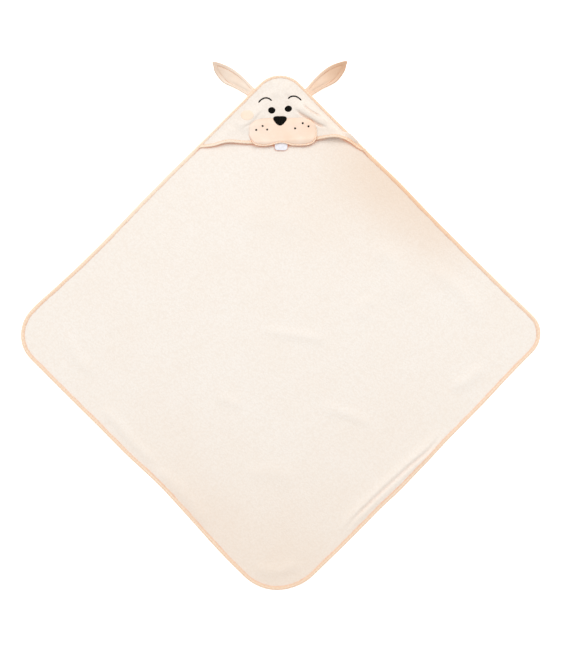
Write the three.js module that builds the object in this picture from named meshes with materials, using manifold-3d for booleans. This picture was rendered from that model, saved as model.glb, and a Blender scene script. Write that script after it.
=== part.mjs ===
// Hooded baby towel, lying open with its face up.
// Millimetres, +Z up out of the face, +Y toward the hood. The origin is the middle of the square,
// on its underside.

import * as THREE from 'three';
import { mergeVertices } from 'three/addons/utils/BufferGeometryUtils.js';
import Module from 'manifold-3d';

const wasm = await Module();
wasm.setup();

// The square
const towelSide = 850; // finished, tape included
const towelThickness = 3.6; // terry at full loft
const rimThickness = 2.4; // terry pressed flat inside the tape
const cornerRadius = { right: 57, hood: 60, left: 73, foot: 104 };

// The bias tape and its stitching
const tapeWidth = 8.5;
const tapeCloth = 0.7;
const stitchWidth = 0.6;
const stitchHeight = 0.5;
const stitchSetback = 1.5; // from the tape's inner edge to the thread

// The hood: a flat-topped shell of one cloth, sewn along both edges of the hood corner
const hoodCloth = 2.6;
const hoodRise = 10.7; // from its sewn edge to its flat top
const hoodRun = 12; // plan width of the sloping edge
const hemDepth = { left: 187, right: 197 }; // hem ends, down from the square's corner point
const hemTapeWidth = 7;
// The hem between its ends: [share of that side, rise above the straight line]
const hemShape = [[-0.8, 5], [-0.61, 15], [-0.35, 13], [0, 17], [0.38, 25], [0.61, 31], [0.76, 24], [0.89, 7]];

// The face, placed from the middle of the hem
const embroideryHeight = 0.7;
const eyeSize = { width: 17, height: 15 };
const eyePlaces = { left: [-18, 72], right: [18.3, 75.4] };
const browThickness = 3;
const browPaths = {
  left: [[-47, 89], [-39, 96], [-31, 98.4], [-18, 94.6]],
  right: [[17, 97], [23, 101], [32, 102.4], [47, 94]],
};
const cheekSize = { width: 28.7, height: 23.2 };
const cheekPlaces = { left: [-71.5, 61], right: [71, 62] };
const muzzleSize = { width: 152, height: 66 };
const muzzlePlace = [6, 25];
const muzzleThickness = 2.2;
const satinWidth = 3;
// The muzzle's two lobes, as shares of half its width and half its height
const muzzleShape = [
  [-1, -0.1], [-0.66, 0.82], [-0.02, 0.85], [0.57, 1], [1, 0.12],
  [0.88, -0.64], [0.52, -0.94], [-0.03, -0.8], [-0.59, -1], [-0.9, -0.68],
];
const dotWidth = 4.5;
const dotPlaces = [[-52, 28], [-38, 37], [-28, 29], [34, 32], [51, 43], [64, 36]];
const noseSize = { width: 31, height: 21 };
const nosePlace = [0.3, 59]; // middle of its top edge
const toothSize = { width: 26, length: 12.5, thickness: 2.2, cornerRadius: 7 };
const toothPlace = [2.9, -4.2]; // middle of its hinged edge

// The ears: two leaves of cloth sewn together, let into the edge seam
const earLength = 107;
const earWidth = 37;
const earRootWidth = 21;
const earDroop = 8; // degrees that the ear's middle line leans away from square to the edge
const earPlace = 88.4; // from the square's corner point along the edge to the ear's middle
const earBackCloth = 2.2;
const earFrontCloth = 2;
const earFrontInset = 0.6;
const earStitchInset = 7;
// Its outline from root to tip and back: [share of its length, share of half its width]
const earShape = [
  [0.28, 0.8], [0.52, 0.88], [0.7, 0.76], [0.87, 0.44], [1, 0],
  [0.93, -0.38], [0.85, -0.74], [0.72, -1], [0.58, -1.12], [0.43, -0.98], [0.25, -0.74],
];

// Clearances
const gap = 0.3; // between pieces that lie on each other
const earGap = 0.4; // between the tape and an ear's root

// What follows from these
const halfDiagonal = towelSide / Math.SQRT2;
const tapeHeight = rimThickness + 2 * (tapeCloth + gap);
const hoodInset = tapeWidth + gap;
const hoodBase = towelThickness + gap;
const hemWrap = tapeCloth + gap;
const hemStitchLift = hemWrap + gap;
const muzzleLift = hemStitchLift + stitchHeight + gap;
const faceLift = muzzleLift + muzzleThickness + gap;
const noseLift = faceLift + embroideryHeight + gap;

const lots = 2000; // longer than the whole towel, for cutting
const cornerSteps = 5;
const hemSteps = 36;
const earSteps = 40;
const muzzleSteps = 48;
const browSteps = 10;

const colours = {
  terry: 0xf8efe4,
  tape: 0xf6d8ba,
  thread: 0xf1cda9,
  ear: 0xf7dcc3,
  muzzle: 0xfbe2cd,
  satin: 0xf3d6bb,
  cheek: 0xfadfcc,
  tooth: 0xf4f4f6,
  black: 0x1f1e1a,
};

// ---------- solids

function toSolid(geometry) {
  const bare = geometry.clone();
  bare.deleteAttribute('normal');
  bare.deleteAttribute('uv');
  const merged = mergeVertices(bare, 1e-4);
  return new wasm.Manifold(new wasm.Mesh({
    numProp: 3,
    vertProperties: merged.attributes.position.array,
    triVerts: Uint32Array.from(merged.index.array),
  }));
}

function toGeometry(solid) {
  const mesh = solid.getMesh();
  const geometry = new THREE.BufferGeometry();
  geometry.setAttribute('position', new THREE.BufferAttribute(mesh.vertProperties, mesh.numProp));
  geometry.setIndex(new THREE.BufferAttribute(mesh.triVerts, 1));
  geometry.computeVertexNormals();
  return geometry;
}

function plateGeometry(shape, base, height, curveSegments = cornerSteps) {
  const plate = new THREE.ExtrudeGeometry(shape, { depth: height, bevelEnabled: false, curveSegments });
  return plate.translate(0, 0, base);
}

const plate = (shape, base, height, curveSegments) => toSolid(plateGeometry(shape, base, height, curveSegments));

// ---------- flat outlines

// The rounded square, moved in from the finished edge
function squareOutline(inset) {
  const shape = new THREE.Shape();
  Object.values(cornerRadius).forEach((radius, index) => {
    const angle = (index * Math.PI) / 2;
    const reach = halfDiagonal - radius * Math.SQRT2;
    const x = reach * Math.cos(angle);
    const y = reach * Math.sin(angle);
    shape.absarc(x, y, radius - inset, angle - Math.PI / 4, angle + Math.PI / 4);
  });
  return shape;
}

// Points moved sideways, to the left of their direction
function offsetPoints(points, distance, closed) {
  const last = points.length - 1;
  return points.map((point, index) => {
    const before = closed ? points.at(index - 1) : points[Math.max(index - 1, 0)];
    const after = closed ? points[(index + 1) % points.length] : points[Math.min(index + 1, last)];
    const along = after.clone().sub(before).normalize();
    return new THREE.Vector2(point.x - along.y * distance, point.y + along.x * distance);
  });
}

// A band of even width along a line of points
function bandShape(points, width, closed = false) {
  const left = offsetPoints(points, width / 2, closed);
  const right = offsetPoints(points, -width / 2, closed);
  if (!closed) {
    return new THREE.Shape([...right, ...left.reverse()]);
  }
  const shape = new THREE.Shape(right);
  shape.holes.push(new THREE.Path(left));
  return shape;
}

function ellipseShape(x, y, size) {
  return new THREE.Shape().absellipse(x, y, size.width / 2, size.height / 2, 0, 2 * Math.PI);
}

// ---------- the square of terry and its tape

const slab = plate(squareOutline(hoodInset), 0, towelThickness);
const rim = plate(squareOutline(tapeCloth + gap), tapeCloth + gap, rimThickness);
const towelPanel = slab.add(rim);

const tapeOuter = plate(squareOutline(0), 0, tapeHeight);
const tapeHole = plate(squareOutline(tapeWidth), -gap, tapeHeight + 2 * gap);
const tapeSlot = plate(squareOutline(tapeCloth), tapeCloth, rimThickness + 2 * gap);
const edgeBinding = tapeOuter.subtract(tapeHole).subtract(tapeSlot);

function edgeStitchGeometry() {
  const ring = squareOutline(tapeWidth - stitchSetback - stitchWidth);
  ring.holes.push(squareOutline(tapeWidth - stitchSetback));
  return plateGeometry(ring, tapeHeight + gap, stitchHeight);
}

// ---------- the hood

// The solid under the hood's top face, raised by lift
function hoodMound(lift) {
  const low = squareOutline(hoodInset).getPoints(cornerSteps);
  const high = squareOutline(hoodInset + hoodRun).getPoints(cornerSteps);
  const count = low.length;
  const positions = [];
  low.forEach((point) => positions.push(point.x, point.y, hoodBase + lift));
  high.forEach((point) => positions.push(point.x, point.y, hoodBase + hoodRise + lift));
  positions.push(0, 0, hoodBase + lift, 0, 0, hoodBase + hoodRise + lift);
  const lowMiddle = 2 * count;
  const highMiddle = lowMiddle + 1;
  const faces = [];
  for (let i = 0; i < count; i += 1) {
    const next = (i + 1) % count;
    faces.push(i, next, count + next, i, count + next, count + i);
    faces.push(next, i, lowMiddle, count + i, count + next, highMiddle);
  }
  const geometry = new THREE.BufferGeometry();
  geometry.setAttribute('position', new THREE.Float32BufferAttribute(positions, 3));
  geometry.setIndex(faces);
  return toSolid(geometry);
}

// The hem's height at an end or a share of its side
function hemPoint(share, rise) {
  const side = share < 0 ? hemDepth.left : hemDepth.right;
  const x = share * side;
  const across = (x + hemDepth.left) / (hemDepth.left + hemDepth.right);
  const straight = halfDiagonal - THREE.MathUtils.lerp(hemDepth.left, hemDepth.right, across);
  return new THREE.Vector2(x, straight + rise);
}

const hemPast = 1.1; // the cut runs on past both ends
const hemCurve = new THREE.SplineCurve([
  hemPoint(-hemPast, 0), hemPoint(-1, 0),
  ...hemShape.map(([share, rise]) => hemPoint(share, rise)),
  hemPoint(1, 0), hemPoint(hemPast, 0),
]);
const hemMiddle = hemPoint(...hemShape.find(([share]) => share === 0));

function hemLine(offset) {
  return hemCurve.getPoints(hemSteps).map((point) => new THREE.Vector2(point.x, point.y + offset));
}

// Everything above the hem, from offset to limit
function aboveHem(offset, limit = lots) {
  const edge = hemLine(offset);
  const far = hemLine(limit).reverse();
  return plate(new THREE.Shape([...edge, ...far]), -lots / 2, lots);
}

// The skin between two lifts over the hood's top face
const hoodSkin = (low, high) => hoodMound(high).subtract(hoodMound(low));

// A flat shape laid on the hood
function onHood(shape, lift, thickness, curveSegments = 10) {
  return plate(shape, -lots / 2, lots, curveSegments).intersect(hoodSkin(lift, lift + thickness));
}

const hoodPanel = hoodSkin(-hoodCloth, 0).intersect(aboveHem(hemWrap));

const hemBand = hoodSkin(-hoodCloth - hemWrap, hemWrap).intersect(aboveHem(0, hemTapeWidth));
const hemSlot = hoodSkin(-hoodCloth - gap, gap).intersect(aboveHem(tapeCloth));
const hemBinding = hemBand.subtract(hemSlot);

const hemStitch = onHood(
  bandShape(hemLine(hemTapeWidth - stitchSetback), stitchWidth), hemStitchLift, stitchHeight,
);

// ---------- the face

const fromHem = ([x, y]) => new THREE.Vector2(hemMiddle.x + x, hemMiddle.y + y);

const muzzlePoints = new THREE.SplineCurve(
  [...muzzleShape, muzzleShape[0]].map(([across, up]) => fromHem([
    muzzlePlace[0] + (across * muzzleSize.width) / 2,
    muzzlePlace[1] + (up * muzzleSize.height) / 2,
  ])),
).getPoints(muzzleSteps).slice(0, -1).reverse();

function noseShape() {
  const top = fromHem(nosePlace);
  const half = noseSize.width / 2;
  const tip = top.y - noseSize.height;
  const shape = new THREE.Shape();
  shape.moveTo(top.x - half * 0.6, top.y);
  shape.bezierCurveTo(top.x - half * 1.1, top.y, top.x - half * 1.2, top.y - 7, top.x - half * 0.75, top.y - 11);
  shape.quadraticCurveTo(top.x - half * 0.3, tip, top.x, tip);
  shape.quadraticCurveTo(top.x + half * 0.3, tip, top.x + half * 0.75, top.y - 11);
  shape.bezierCurveTo(top.x + half * 1.2, top.y - 7, top.x + half * 1.1, top.y, top.x + half * 0.6, top.y);
  return shape;
}

function toothGeometry() {
  const hinge = fromHem(toothPlace);
  const half = toothSize.width / 2;
  const foot = hinge.y - toothSize.length;
  const radius = toothSize.cornerRadius;
  const shape = new THREE.Shape();
  shape.moveTo(hinge.x - half, hinge.y);
  shape.absarc(hinge.x - half + radius, foot + radius, radius, Math.PI, 1.5 * Math.PI);
  shape.absarc(hinge.x + half - radius, foot + radius, radius, 1.5 * Math.PI, 2 * Math.PI);
  shape.lineTo(hinge.x + half, hinge.y);
  const top = hoodBase + hoodRise + muzzleLift - gap;
  return plateGeometry(shape, top - toothSize.thickness, toothSize.thickness);
}

// ---------- the ears

// One ear's outline, moved in by inset, in the ear's own frame: x along the edge toward the
// hood's point, y straight out from the edge. Its root lies on y = 0.
function earPoints(inset) {
  const lean = THREE.MathUtils.degToRad(earDroop);
  const root = earRootWidth / 2 - inset;
  const half = earWidth / 2 - inset;
  const length = earLength - 2 * inset; // a narrow tip moves in faster than the sides
  const leaf = ([along, across]) => new THREE.Vector2(across * half, along * length)
    .rotateAround(new THREE.Vector2(), lean);
  const curve = new THREE.SplineCurve([
    new THREE.Vector2(root, 0), ...earShape.map(leaf), new THREE.Vector2(-root, 0),
  ]);
  return curve.getPoints(earSteps);
}

function earGeometries() {
  const frontBase = earBackCloth + gap;
  const stitchBase = frontBase + earFrontCloth + gap;
  return {
    back: plateGeometry(new THREE.Shape(earPoints(0)), 0, earBackCloth),
    front: plateGeometry(new THREE.Shape(earPoints(earFrontInset)), frontBase, earFrontCloth),
    topstitch: plateGeometry(bandShape(earPoints(earStitchInset), stitchWidth), stitchBase, stitchHeight),
  };
}

// ---------- the assembly

const towel = new THREE.Group();

function addPiece(name, shape, colour, parent = towel) {
  const geometry = shape.isBufferGeometry ? shape : toGeometry(shape);
  const material = new THREE.MeshStandardMaterial({ color: colour, roughness: 0.9, metalness: 0 });
  const mesh = new THREE.Mesh(geometry, material);
  mesh.name = name;
  parent.add(mesh);
}

addPiece('towel_panel', towelPanel, colours.terry);
addPiece('edge_binding', edgeBinding, colours.tape);
addPiece('edge_topstitch', edgeStitchGeometry(), colours.thread);
addPiece('hood_panel', hoodPanel, colours.terry);
addPiece('hood_hem_binding', hemBinding, colours.tape);
addPiece('hood_hem_topstitch', hemStitch, colours.thread);
addPiece('muzzle_patch', onHood(new THREE.Shape(muzzlePoints), muzzleLift, muzzleThickness), colours.muzzle);
addPiece('muzzle_satin_stitch', onHood(
  bandShape(offsetPoints(muzzlePoints, satinWidth / 2, true), satinWidth, true), faceLift, stitchHeight,
), colours.satin);
addPiece('nose', onHood(noseShape(), noseLift, embroideryHeight, 6), colours.black);
addPiece('tooth', toothGeometry(), colours.tooth);

for (const side of ['left', 'right']) {
  const eye = fromHem(eyePlaces[side]);
  const cheek = fromHem(cheekPlaces[side]);
  const brow = new THREE.SplineCurve(browPaths[side].map(fromHem)).getPoints(browSteps);
  addPiece(`${side}_eye`, onHood(ellipseShape(eye.x, eye.y, eyeSize), gap, embroideryHeight), colours.black);
  addPiece(`${side}_eyebrow`, onHood(bandShape(brow, browThickness), gap, embroideryHeight), colours.black);
  addPiece(`${side}_cheek`, onHood(ellipseShape(cheek.x, cheek.y, cheekSize), gap, embroideryHeight), colours.cheek);
}

dotPlaces.forEach((place, index) => {
  const dot = fromHem(place);
  const shape = ellipseShape(dot.x, dot.y, { width: dotWidth, height: dotWidth });
  addPiece(`whisker_dot_${index + 1}`, onHood(shape, faceLift, embroideryHeight, 6), colours.black);
});

// Both ears stand square to their edge of the hood corner. The right one mirrors the left.
for (const side of ['left', 'right']) {
  const ear = new THREE.Group();
  const root = earPlace / Math.SQRT2;
  const out = earGap / Math.SQRT2;
  const mirror = side === 'left' ? -1 : 1;
  ear.scale.x = -mirror;
  ear.position.set(mirror * (root + out), halfDiagonal - root + out, 0);
  ear.rotation.z = mirror * -Math.PI / 4;
  for (const [name, geometry] of Object.entries(earGeometries())) {
    const colour = name === 'topstitch' ? colours.thread : colours.ear;
    addPiece(`${side}_ear_${name}`, geometry, colour, ear);
  }
  towel.add(ear);
}

export default towel;
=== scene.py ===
import math

import bpy
import numpy as np
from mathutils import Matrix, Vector


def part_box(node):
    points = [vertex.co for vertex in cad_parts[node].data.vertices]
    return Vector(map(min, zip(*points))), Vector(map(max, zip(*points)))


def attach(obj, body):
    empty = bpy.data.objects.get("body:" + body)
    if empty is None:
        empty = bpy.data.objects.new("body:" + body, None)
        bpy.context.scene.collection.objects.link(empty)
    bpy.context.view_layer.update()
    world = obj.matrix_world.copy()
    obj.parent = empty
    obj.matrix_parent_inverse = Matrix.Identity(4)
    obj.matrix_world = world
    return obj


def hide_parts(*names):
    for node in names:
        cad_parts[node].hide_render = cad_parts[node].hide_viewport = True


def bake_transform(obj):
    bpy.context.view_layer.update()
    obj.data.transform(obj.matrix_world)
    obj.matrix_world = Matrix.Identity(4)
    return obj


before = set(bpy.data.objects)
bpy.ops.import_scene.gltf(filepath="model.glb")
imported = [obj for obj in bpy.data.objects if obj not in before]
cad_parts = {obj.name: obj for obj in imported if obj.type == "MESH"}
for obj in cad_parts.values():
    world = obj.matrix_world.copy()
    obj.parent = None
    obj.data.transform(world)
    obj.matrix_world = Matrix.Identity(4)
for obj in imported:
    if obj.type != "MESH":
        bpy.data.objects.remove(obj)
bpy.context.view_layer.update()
mm = 0.001
print("frame loaded")

# Sizes below are in millimetres. The square's own numbers come first: the rest hangs on them.
square = {
    "side": 850.0,
    "terry": 3.6,  # thickness at full loft
    "pressed": 2.4,  # thickness inside the tape
    "edgeStep": 2.5, "middleStep": 4.9, "edgeBand": 44.0,  # its mesh is finer near the edge
    "shift": 0.5,  # how far the cloth wanders from where it was cut
    # Inside the edge, where its top and its underside leave the tape, and over what length
    "topLeaves": (6.5, 5.0), "underLeaves": (8.0, 4.0),
    "offBed": 0.4,  # how far the pressed edge lies above what the towel lies on
    "cutInset": 1.0,  # how far its own edge stays inside the tape's fold
    "nap": (0.12, 0.1),  # how uneven its pile is, close up and over a hand's width
}


def nodeBox(*names):
    corners = [np.array(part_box(name)) / mm for name in names]
    return np.min([c[0] for c in corners], 0), np.max([c[1] for c in corners], 0)


halfSide = square["side"] / 2
halfDiagonal = square["side"] / math.sqrt(2)
outerLow, outerHigh = nodeBox("edge_binding")
# Right, hood, left and foot: a corner's radius from how far the binding reaches that way
reaches = [outerHigh[0], outerHigh[1], -outerLow[0], -outerLow[1]]
cornerRadii = [(halfDiagonal - reach) / (math.sqrt(2) - 1) for reach in reaches]
cornerAngles = [0.0, math.pi / 2, math.pi, 1.5 * math.pi]


def smooth(x):
    t = np.clip(x, 0, 1)
    return t * t * (3 - 2 * t)


def wander(x, y, size, seed):
    # A smooth random field between about -1 and 1, whose bumps are about size across
    rng = np.random.default_rng(seed)
    total = np.zeros(np.broadcast(x, y).shape)
    for _ in range(9):
        angle, phase = rng.uniform(0, 2 * math.pi, 2)
        wave = 2 * math.pi / (size * rng.uniform(1.3, 3.2))
        total += np.sin(wave * (x * math.cos(angle) + y * math.sin(angle)) + phase)
    return total / 3.6


def unit(vectors):
    return vectors / np.maximum(np.linalg.norm(vectors, axis=-1, keepdims=True), 1e-9)


def curveThrough(points, step, closed=False):
    # A smooth line through the points, cut into even steps
    p = np.array(points, float)
    if closed:
        ends = np.vstack([p[-1], p, p[0], p[1]])
    else:
        ends = np.vstack([2 * p[0] - p[1], p, 2 * p[-1] - p[-2]])
    t = np.linspace(0, 1, 24, endpoint=False)[:, None]
    spans = []
    for a, b, c, d in zip(ends[:-3], ends[1:-2], ends[2:-1], ends[3:]):
        spans.append(0.5 * (2 * b + (c - a) * t + (2 * a - 5 * b + 4 * c - d) * t**2
                            + (3 * b - a - 3 * c + d) * t**3))
    line = np.vstack([*spans, ends[-2]])
    along = np.r_[0, np.cumsum(np.linalg.norm(np.diff(line, axis=0), axis=1))]
    count = max(int(round(along[-1] / step)), 4)
    places = np.linspace(0, along[-1], count + 1)
    if closed:
        places = places[:-1]
    return np.stack([np.interp(places, along, line[:, k]) for k in range(line.shape[1])], 1)


def leftNormals(line, closed=False):
    if closed:
        along = np.roll(line, -1, 0) - np.roll(line, 1, 0)
    else:
        along = np.gradient(line, axis=0)
    along = unit(along)
    return np.stack([-along[:, 1], along[:, 0]], 1)


def distanceTo(x, y, line, closed=False):
    # How far each point is from a line, and where along it the nearest place is
    a = np.array(line, float)
    b = np.roll(a, -1, 0)
    if not closed:
        a, b = a[:-1], b[:-1]
    best = np.full(np.shape(x), 1e9)
    place = np.zeros(np.shape(x))
    for i, (p, q) in enumerate(zip(a, b)):
        d = q - p
        t = np.clip(((x - p[0]) * d[0] + (y - p[1]) * d[1]) / max(d @ d, 1e-9), 0, 1)
        gap = np.hypot(x - p[0] - t * d[0], y - p[1] - t * d[1])
        nearer = gap < best
        best = np.where(nearer, gap, best)
        place = np.where(nearer, (i + t) / len(a), place)
    return best, place


def crease(x, y, path, width, height):
    # A soft ridge, or a valley where height is negative, that fades out at both ends
    gap, place = distanceTo(x, y, path)
    return height * np.exp(-(gap / width) ** 2) * smooth(place / 0.25) * smooth((1 - place) / 0.25)


def insetOf(x, y):
    # How far inside the finished edge a point lies
    s, t = (x + y) / math.sqrt(2), (y - x) / math.sqrt(2)
    radius = np.select(
        [(s > 0) & (t <= 0), (s > 0) & (t > 0), (s <= 0) & (t > 0)], cornerRadii[:3], cornerRadii[3])
    a, b = np.abs(s) - halfSide + radius, np.abs(t) - halfSide + radius
    inCorner = (a > 0) & (b > 0)
    return radius - np.where(inCorner, np.hypot(a, b), np.maximum(a, b))


def edgeLine(inset, step):
    # The rounded square, run round once, with the outward direction at each point
    arcs, facings = [], []
    for radius, angle in zip(cornerRadii, cornerAngles):
        reach = halfDiagonal - radius * math.sqrt(2)
        middle = reach * np.array([math.cos(angle), math.sin(angle)])
        quarter = math.pi / 4
        turns = np.linspace(angle - quarter, angle + quarter, max(int(radius * 1.57 / step), 6))
        facing = np.stack([np.cos(turns), np.sin(turns)], 1)
        arcs.append(middle + (radius - inset) * facing)
        facings.append(facing)
    line, normals = [], []
    for k in range(4):
        line.append(arcs[k])
        normals.append(facings[k])
        start, end = arcs[k][-1], arcs[(k + 1) % 4][0]
        count = int(np.linalg.norm(end - start) / step)
        t = np.linspace(0, 1, count + 2)[1:-1, None]
        line.append(start + (end - start) * t)
        normals.append(np.repeat(facings[k][-1:], count, 0))
    return np.vstack(line), np.vstack(normals)


# Ridges in the laid square: path, half-width and height. Most are where a hand smoothed it last.
wrinkles = [
    ([(376, -196), (331, -248), (294, -278), (245, -321), (205, -360), (164, -400), (124, -446)], 15, 5.6),
    ([(366, -206), (331, -248), (294, -278), (245, -321), (205, -360), (164, -400), (132, -437)], 4.1, -4.9),
    ([(-45, 13), (30, 3), (111, -10)], 11, 2.0),
    ([(88, -155), (140, -170), (212, -197)], 12, 1.9),
    ([(-146, -134), (-112, -143), (-82, -158)], 11, 1.5),
    ([(200, 205), (262, 150), (270, 62)], 20, 2.2),
    ([(212, 85), (180, 62), (196, 30)], 12, 1.6),
    ([(-400, -150), (-330, -226), (-262, -300)], 12, 2.4),
    ([(-296, -282), (-210, -352), (-150, -430)], 15, 2.4),
    ([(-60, -505), (-5, -516), (50, -500)], 13, 2.0),
    ([(452, -62), (420, -95), (372, -118)], 13, 2.4),
    ([(330, 160), (404, 92), (452, 20)], 16, 2.0),
    ([(-470, 18), (-452, -40), (-405, -92)], 12, 1.6),
    ([(-120, 250), (-20, 262), (70, 240)], 30, 1.3),
    ([(40, -330), (-10, -300), (-80, -306)], 18, 1.3),
]


def clothLift(x, y):
    # How far the laid cloth stands off what it lies on
    lift = np.zeros(np.shape(x))
    for path, width, height in wrinkles:
        line = np.array(path, float)
        low, high = line.min(0) - 3 * width, line.max(0) + 3 * width
        near = (x > low[0]) & (x < high[0]) & (y > low[1]) & (y < high[1])
        lift[near] += crease(x[near], y[near], curveThrough(line, 12), width, height)
    return lift


# Where the laid edges bow: place, push and how far round it the push is felt
bows = [
    ((-112, -488), (-4.8, -4.8), 85),
    ((-20, -555), (-1.2, -3.4), 75),
    ((-262, -330), (1.8, 1.8), 60),
    ((160, -430), (2.4, -2.4), 110),
    ((290, -320), (2.8, -2.8), 70),
    ((540, -62), (-2.8, 2.8), 90),
    ((550, 46), (1.0, 2.8), 60),
    ((-535, 70), (-3.0, 3.0), 60),
    ((-400, 200), (1.4, -1.4), 90),
    ((-258, 343), (-1.4, 1.4), 50),
    ((260, 345), (1.3, 1.3), 85),
    ((0, 480), (0, -0.8), 150),
    ((0, 565), (2.0, -0.4), 60),
]


def lay(points):
    # Moves any piece with its cloth: sideways as the edges wander, up with a wrinkle
    p = np.array(points, float)
    x, y = p[..., 0].copy(), p[..., 1].copy()
    for place, push, reach in bows:
        share = np.exp(-((x - place[0]) ** 2 + (y - place[1]) ** 2) / reach**2)
        p[..., 0] += push[0] * share
        p[..., 1] += push[1] * share
    p[..., 0] += square["shift"] * wander(x, y, 60, 12)
    p[..., 1] += square["shift"] * wander(x, y, 60, 14)
    p[..., 2] += clothLift(x, y)
    return p


def makePiece(name, points, faces, material, body=None):
    mesh = bpy.data.meshes.new(name)
    mesh.from_pydata((lay(points) * mm).tolist(), [], faces)
    mesh.polygons.foreach_set("use_smooth", [True] * len(mesh.polygons))
    mesh.update()
    piece = bpy.data.objects.new(name, mesh)
    bpy.context.scene.collection.objects.link(piece)
    piece.data.materials.append(material)
    if body:
        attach(piece, body)
    return piece


def gridFaces(rows, columns, wrapRows=False, wrapColumns=False, flip=False, first=0):
    i, j = np.meshgrid(np.arange(rows if wrapRows else rows - 1),
                       np.arange(columns if wrapColumns else columns - 1), indexing="ij")
    after, beside = (i + 1) % rows, (j + 1) % columns
    corners = [i * columns + j, after * columns + j, after * columns + beside, i * columns + beside]
    if flip:
        corners.reverse()
    return (np.stack([c.ravel() for c in corners], 1) + first).tolist()


def doubleSheet(top, bottom):
    # Two grids of the same size, sewn together round their border
    rows, columns = top.shape[:2]
    count = rows * columns
    index = np.arange(count).reshape(rows, columns)
    border = np.r_[index[0, :-1], index[:-1, -1], index[-1, :0:-1], index[:0:-1, 0]]
    beyond = np.roll(border, -1)
    faces = gridFaces(rows, columns) + gridFaces(rows, columns, flip=True, first=count)
    faces += np.stack([border, beyond, beyond + count, border + count], 1).tolist()
    return np.vstack([top.reshape(-1, 3), bottom.reshape(-1, 3)]), faces


def sweep(sections, closedPath, flip=False):
    # Closed sections along a path, with a lid at each end of an open one
    rows, columns = sections.shape[:2]
    points = sections.reshape(-1, 3)
    faces = gridFaces(rows, columns, wrapRows=closedPath, wrapColumns=True, flip=flip)
    if not closedPath:
        lids = [list(range(columns)), list(range(rows * columns - 1, (rows - 1) * columns - 1, -1))]
        faces += [lid[::-1] for lid in lids] if flip else lids
    return points, faces


def cushion(over, under, rings, count):
    # Two faces made of rings that close in on a middle point, joined round the outermost ring
    total, last = rings * count + 1, (rings - 1) * count
    faces = gridFaces(rings, count, wrapColumns=True, flip=True)
    faces += gridFaces(rings, count, wrapColumns=True, first=total)
    for i in range(count):
        after = (i + 1) % count
        faces.append([after, i, i + total, after + total])
        faces.append([last + i, last + after, total - 1])
        faces.append([total + last + after, total + last + i, 2 * total - 1])
    return np.vstack([over, under]), faces


def domedPatch(outline, baseAt, height, rim, rings=7, sink=0.4):
    # A raised shape on cloth: it rises over rim from its outline to its full height
    centre = outline.mean(0)
    shares = np.linspace(0, 1, rings + 1)[:-1] ** 1.5
    layers = []
    for share in shares:
        xy = outline + (centre - outline) * share
        gap, _ = distanceTo(xy[:, 0], xy[:, 1], outline, closed=True)
        rise = np.sqrt(np.clip(1 - (1 - np.clip(gap / rim, 0, 1)) ** 2, 0, 1))
        layers.append(np.column_stack([xy, baseAt(xy[:, 0], xy[:, 1]) + height * rise]))
    foot = layers[0].copy()
    foot[:, 2] -= sink
    layers.insert(0, foot)
    count = len(outline)
    points = np.vstack(layers)
    z = float(baseAt(centre[:1], centre[1:])[0])
    points = np.vstack([points, [*centre, z + height], [*centre, z - sink]])
    faces = gridFaces(len(layers), count, wrapColumns=True, flip=True)
    last = (len(layers) - 1) * count
    tip, under = len(points) - 2, len(points) - 1
    for i in range(count):
        after = (i + 1) % count
        faces.append([last + i, last + after, tip])
        faces.append([after, i, under])
    return points, faces


def corded(line, width, height, baseAt, sink=0.3, sides=9):
    # A raised line of thread along a path, narrowing to both ends
    normal = leftNormals(line)
    place = np.linspace(0, 1, len(line))
    swell = np.sqrt(np.clip(np.minimum(place, 1 - place) * 14, 0, 1)) * 0.9 + 0.1
    turns = np.linspace(0, math.pi, sides)
    sections = []
    for turn in turns:
        xy = line + normal * (width / 2 * math.cos(turn) * swell)[:, None]
        z = baseAt(xy[:, 0], xy[:, 1]) + height * math.sin(turn) * swell
        sections.append(np.column_stack([xy, z]))
    for side in (-0.8, 0.8):
        xy = line + normal * (width / 2 * side * swell)[:, None]
        sections.append(np.column_stack([xy, baseAt(xy[:, 0], xy[:, 1]) - sink]))
    return sweep(np.stack(sections, 1), False, flip=True)


def stitchRow(line, baseAt, pitch, length, thickness, closed=False, seed=5):
    # Separate stitches: each is a short round thread that dips into the cloth at both ends
    path = np.vstack([line, line[:1]]) if closed else line
    along = np.r_[0, np.cumsum(np.linalg.norm(np.diff(path, axis=0), axis=1))]
    centres = np.arange(pitch / 2, along[-1], pitch)
    rng = np.random.default_rng(seed)
    centres = centres + rng.uniform(-0.06, 0.06, len(centres)) * pitch
    shares, sides = np.array([-0.5, -0.3, 0, 0.3, 0.5]), 6
    rings, faces = [], []
    fat = np.array([0.45, 0.9, 1.0, 0.9, 0.45])
    dip = np.array([-0.55, 0.0, 0.18, 0.0, -0.55]) * thickness
    turns = np.arange(sides) * 2 * math.pi / sides
    for share, size, low in zip(shares, fat, dip):
        places = centres + share * length
        at = np.stack([np.interp(places, along, path[:, k]) for k in (0, 1)], 1)
        ahead = np.stack([np.interp(places + 0.2, along, path[:, k]) for k in (0, 1)], 1)
        behind = np.stack([np.interp(places - 0.2, along, path[:, k]) for k in (0, 1)], 1)
        way = unit(ahead - behind)
        across = np.stack([-way[:, 1], way[:, 0]], 1)
        z = baseAt(at[:, 0], at[:, 1])
        for turn in turns:
            xy = at + across * (thickness / 2 * size * math.cos(turn))
            rings.append(np.column_stack([xy, z + low + thickness / 2 * size * math.sin(turn)]))
    points = np.stack(rings, 1)  # stitch, ring and side, xyz
    perStitch = len(shares) * sides
    body = np.array(gridFaces(len(shares), sides, wrapColumns=True, flip=True))
    lid = np.arange(sides)
    for k in range(len(centres)):
        first = k * perStitch
        faces += (body + first).tolist()
        faces.append((lid[::-1] + first).tolist())
        faces.append((lid + first + perStitch - sides).tolist())
    return points.reshape(-1, 3), faces


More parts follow.
